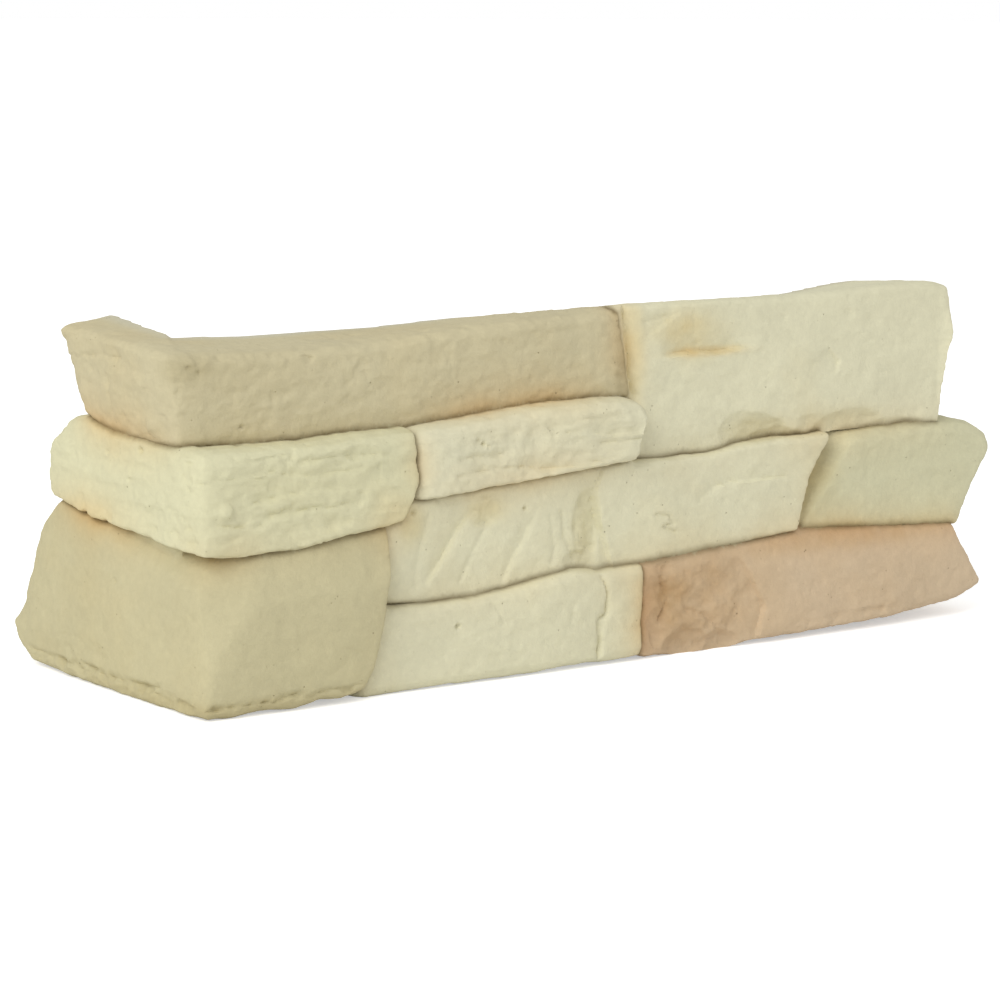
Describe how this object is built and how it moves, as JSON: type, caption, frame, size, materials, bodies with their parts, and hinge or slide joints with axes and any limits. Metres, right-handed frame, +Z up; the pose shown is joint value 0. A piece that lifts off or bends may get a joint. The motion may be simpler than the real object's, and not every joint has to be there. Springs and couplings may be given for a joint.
{
  "type": "stacked stone corner",
  "caption": "Cast veneer corner panel: ledge stones in stepped courses wrap an outside wall corner, with a long leg and a short return, flat at the back for bonding to the wall.",
  "frame": {"origin": "under the middle of the whole, on the floor that the casting's foot stands on", "axes": "+X along the long leg, away from the corner; +Y back along the return, into the wall; +Z up"},
  "size_m": [0.3094, 0.1058, 0.1064],
  "materials": {
    "cast_stone": "matt cast concrete, cream and buff, rose on one stone, with a brown wash in the joints"
  },
  "bodies": {
    "root": {"stone_corner": "cast_stone"}
  },
  "joints": []
}
